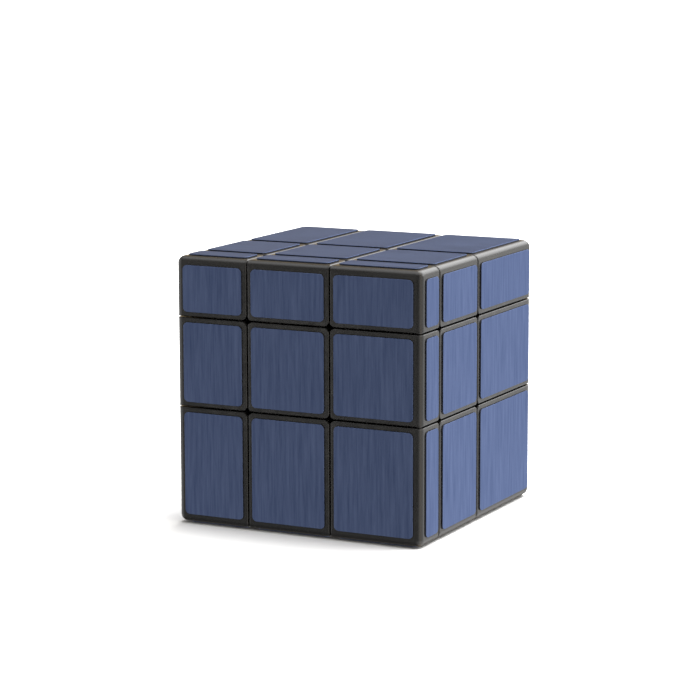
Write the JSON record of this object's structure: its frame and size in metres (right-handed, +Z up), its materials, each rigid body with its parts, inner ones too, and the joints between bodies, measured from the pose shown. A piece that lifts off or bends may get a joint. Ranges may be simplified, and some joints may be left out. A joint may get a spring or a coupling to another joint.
{
  "type": "mirror block cube",
  "caption": "Twisting cube puzzle whose blocks differ in size, black plastic with raised blue brushed-metal foils, turning about an off-centre core.",
  "frame": {"origin": "middle of the bottom face", "axes": "+Z up; the front face, with the thinnest layer, looks along -Y; +X towards the thicker right layer"},
  "size_m": [0.057, 0.057, 0.057],
  "materials": {
    "black_plastic": "satin moulded plastic",
    "blue_foil": "brushed, blue lacquer",
    "core_plastic": "moulded",
    "steel": "zinc plated",
    "spring_steel": "drawn wire"
  },
  "bodies": {
    "core": {"core_spider": "core_plastic", "tension_screws": "steel", "spring_washers": "steel", "tension_springs": "spring_steel"},
    "bottom_front_left": {"bottom_front_left_corner": "black_plastic", "bottom_front_left_corner_foils": "blue_foil"},
    "front_left": {"front_left_edge": "black_plastic", "front_left_edge_foils": "blue_foil"},
    "top_front_left": {"top_front_left_corner": "black_plastic", "top_front_left_corner_foils": "blue_foil"},
    "bottom_left": {"bottom_left_edge": "black_plastic", "bottom_left_edge_foils": "blue_foil"},
    "left": {"left_centre": "black_plastic", "left_centre_foils": "blue_foil"},
    "top_left": {"top_left_edge": "black_plastic", "top_left_edge_foils": "blue_foil"},
    "bottom_back_left": {"bottom_back_left_corner": "black_plastic", "bottom_back_left_corner_foils": "blue_foil"},
    "back_left": {"back_left_edge": "black_plastic", "back_left_edge_foils": "blue_foil"},
    "top_back_left": {"top_back_left_corner": "black_plastic", "top_back_left_corner_foils": "blue_foil"},
    "bottom_front": {"bottom_front_edge": "black_plastic", "bottom_front_edge_foils": "blue_foil"},
    "front": {"front_centre": "black_plastic", "front_centre_foils": "blue_foil"},
    "top_front": {"top_front_edge": "black_plastic", "top_front_edge_foils": "blue_foil"},
    "bottom": {"bottom_centre": "black_plastic", "bottom_centre_foils": "blue_foil"},
    "top": {"top_centre": "black_plastic", "top_centre_foils": "blue_foil"},
    "bottom_back": {"bottom_back_edge": "black_plastic", "bottom_back_edge_foils": "blue_foil"},
    "back": {"back_centre": "black_plastic", "back_centre_foils": "blue_foil"},
    "top_back": {"top_back_edge": "black_plastic", "top_back_edge_foils": "blue_foil"},
    "bottom_front_right": {"bottom_front_right_corner": "black_plastic", "bottom_front_right_corner_foils": "blue_foil"},
    "front_right": {"front_right_edge": "black_plastic", "front_right_edge_foils": "blue_foil"},
    "top_front_right": {"top_front_right_corner": "black_plastic", "top_front_right_corner_foils": "blue_foil"},
    "bottom_right": {"bottom_right_edge": "black_plastic", "bottom_right_edge_foils": "blue_foil"},
    "right": {"right_centre": "black_plastic", "right_centre_foils": "blue_foil"},
    "top_right": {"top_right_edge": "black_plastic", "top_right_edge_foils": "blue_foil"},
    "bottom_back_right": {"bottom_back_right_corner": "black_plastic", "bottom_back_right_corner_foils": "blue_foil"},
    "back_right": {"back_right_edge": "black_plastic", "back_right_edge_foils": "blue_foil"},
    "top_back_right": {"top_back_right_corner": "black_plastic", "top_back_right_corner_foils": "blue_foil"}
  },
  "joints": [
    {"name": "left_turn", "type": "hinge", "parent": "core", "child": "left", "pos_m": [-0.002, -0.01, 0.0345], "axis": [1, 0, 0], "continuous": true},
    {"name": "front_turn", "type": "hinge", "parent": "core", "child": "front", "pos_m": [-0.002, -0.01, 0.0345], "axis": [0, 1, 0], "continuous": true},
    {"name": "bottom_turn", "type": "hinge", "parent": "core", "child": "bottom", "pos_m": [-0.002, -0.01, 0.0345], "axis": [0, 0, 1], "continuous": true},
    {"name": "top_turn", "type": "hinge", "parent": "core", "child": "top", "pos_m": [-0.002, -0.01, 0.0345], "axis": [0, 0, 1], "continuous": true},
    {"name": "back_turn", "type": "hinge", "parent": "core", "child": "back", "pos_m": [-0.002, -0.01, 0.0345], "axis": [0, 1, 0], "continuous": true},
    {"name": "right_turn", "type": "hinge", "parent": "core", "child": "right", "pos_m": [-0.002, -0.01, 0.0345], "axis": [1, 0, 0], "continuous": true},
    {"name": "front_left_with_front", "type": "hinge", "parent": "left", "child": "front_left", "pos_m": [-0.002, -0.01, 0.0345], "axis": [0, 1, 0], "continuous": true},
    {"name": "back_left_with_back", "type": "hinge", "parent": "left", "child": "back_left", "pos_m": [-0.002, -0.01, 0.0345], "axis": [0, 1, 0], "continuous": true},
    {"name": "front_right_with_front", "type": "hinge", "parent": "right", "child": "front_right", "pos_m": [-0.002, -0.01, 0.0345], "axis": [0, 1, 0], "continuous": true},
    {"name": "back_right_with_back", "type": "hinge", "parent": "right", "child": "back_right", "pos_m": [-0.002, -0.01, 0.0345], "axis": [0, 1, 0], "continuous": true},
    {"name": "bottom_left_with_left", "type": "hinge", "parent": "bottom", "child": "bottom_left", "pos_m": [-0.002, -0.01, 0.0345], "axis": [1, 0, 0], "continuous": true},
    {"name": "top_left_with_left", "type": "hinge", "parent": "top", "child": "top_left", "pos_m": [-0.002, -0.01, 0.0345], "axis": [1, 0, 0], "continuous": true},
    {"name": "bottom_right_with_right", "type": "hinge", "parent": "bottom", "child": "bottom_right", "pos_m": [-0.002, -0.01, 0.0345], "axis": [1, 0, 0], "continuous": true},
    {"name": "top_right_with_right", "type": "hinge", "parent": "top", "child": "top_right", "pos_m": [-0.002, -0.01, 0.0345], "axis": [1, 0, 0], "continuous": true},
    {"name": "bottom_front_with_bottom", "type": "hinge", "parent": "front", "child": "bottom_front", "pos_m": [-0.002, -0.01, 0.0345], "axis": [0, 0, 1], "continuous": true},
    {"name": "top_front_with_top", "type": "hinge", "parent": "front", "child": "top_front", "pos_m": [-0.002, -0.01, 0.0345], "axis": [0, 0, 1], "continuous": true},
    {"name": "bottom_back_with_bottom", "type": "hinge", "parent": "back", "child": "bottom_back", "pos_m": [-0.002, -0.01, 0.0345], "axis": [0, 0, 1], "continuous": true},
    {"name": "top_back_with_top", "type": "hinge", "parent": "back", "child": "top_back", "pos_m": [-0.002, -0.01, 0.0345], "axis": [0, 0, 1], "continuous": true},
    {"name": "bottom_front_left_with_bottom", "type": "hinge", "parent": "front_left", "child": "bottom_front_left", "pos_m": [-0.002, -0.01, 0.0345], "axis": [0, 0, 1], "continuous": true},
    {"name": "top_front_left_with_top", "type": "hinge", "parent": "front_left", "child": "top_front_left", "pos_m": [-0.002, -0.01, 0.0345], "axis": [0, 0, 1], "continuous": true},
    {"name": "bottom_back_left_with_bottom", "type": "hinge", "parent": "back_left", "child": "bottom_back_left", "pos_m": [-0.002, -0.01, 0.0345], "axis": [0, 0, 1], "continuous": true},
    {"name": "top_back_left_with_top", "type": "hinge", "parent": "back_left", "child": "top_back_left", "pos_m": [-0.002, -0.01, 0.0345], "axis": [0, 0, 1], "continuous": true},
    {"name": "bottom_front_right_with_bottom", "type": "hinge", "parent": "front_right", "child": "bottom_front_right", "pos_m": [-0.002, -0.01, 0.0345], "axis": [0, 0, 1], "continuous": true},
    {"name": "top_front_right_with_top", "type": "hinge", "parent": "front_right", "child": "top_front_right", "pos_m": [-0.002, -0.01, 0.0345], "axis": [0, 0, 1], "continuous": true},
    {"name": "bottom_back_right_with_bottom", "type": "hinge", "parent": "back_right", "child": "bottom_back_right", "pos_m": [-0.002, -0.01, 0.0345], "axis": [0, 0, 1], "continuous": true},
    {"name": "top_back_right_with_top", "type": "hinge", "parent": "back_right", "child": "top_back_right", "pos_m": [-0.002, -0.01, 0.0345], "axis": [0, 0, 1], "continuous": true}
  ],
  "couplings": [
    {"joint": "front_left_with_front", "follows": "front_turn", "ratio": 1},
    {"joint": "back_left_with_back", "follows": "back_turn", "ratio": 1},
    {"joint": "front_right_with_front", "follows": "front_turn", "ratio": 1},
    {"joint": "back_right_with_back", "follows": "back_turn", "ratio": 1},
    {"joint": "bottom_left_with_left", "follows": "left_turn", "ratio": 1},
    {"joint": "top_left_with_left", "follows": "left_turn", "ratio": 1},
    {"joint": "bottom_right_with_right", "follows": "right_turn", "ratio": 1},
    {"joint": "top_right_with_right", "follows": "right_turn", "ratio": 1},
    {"joint": "bottom_front_with_bottom", "follows": "bottom_turn", "ratio": 1},
    {"joint": "top_front_with_top", "follows": "top_turn", "ratio": 1},
    {"joint": "bottom_back_with_bottom", "follows": "bottom_turn", "ratio": 1},
    {"joint": "top_back_with_top", "follows": "top_turn", "ratio": 1},
    {"joint": "bottom_front_left_with_bottom", "follows": "bottom_turn", "ratio": 1},
    {"joint": "top_front_left_with_top", "follows": "top_turn", "ratio": 1},
    {"joint": "bottom_back_left_with_bottom", "follows": "bottom_turn", "ratio": 1},
    {"joint": "top_back_left_with_top", "follows": "top_turn", "ratio": 1},
    {"joint": "bottom_front_right_with_bottom", "follows": "bottom_turn", "ratio": 1},
    {"joint": "top_front_right_with_top", "follows": "top_turn", "ratio": 1},
    {"joint": "bottom_back_right_with_bottom", "follows": "bottom_turn", "ratio": 1},
    {"joint": "top_back_right_with_top", "follows": "top_turn", "ratio": 1}
  ]
}
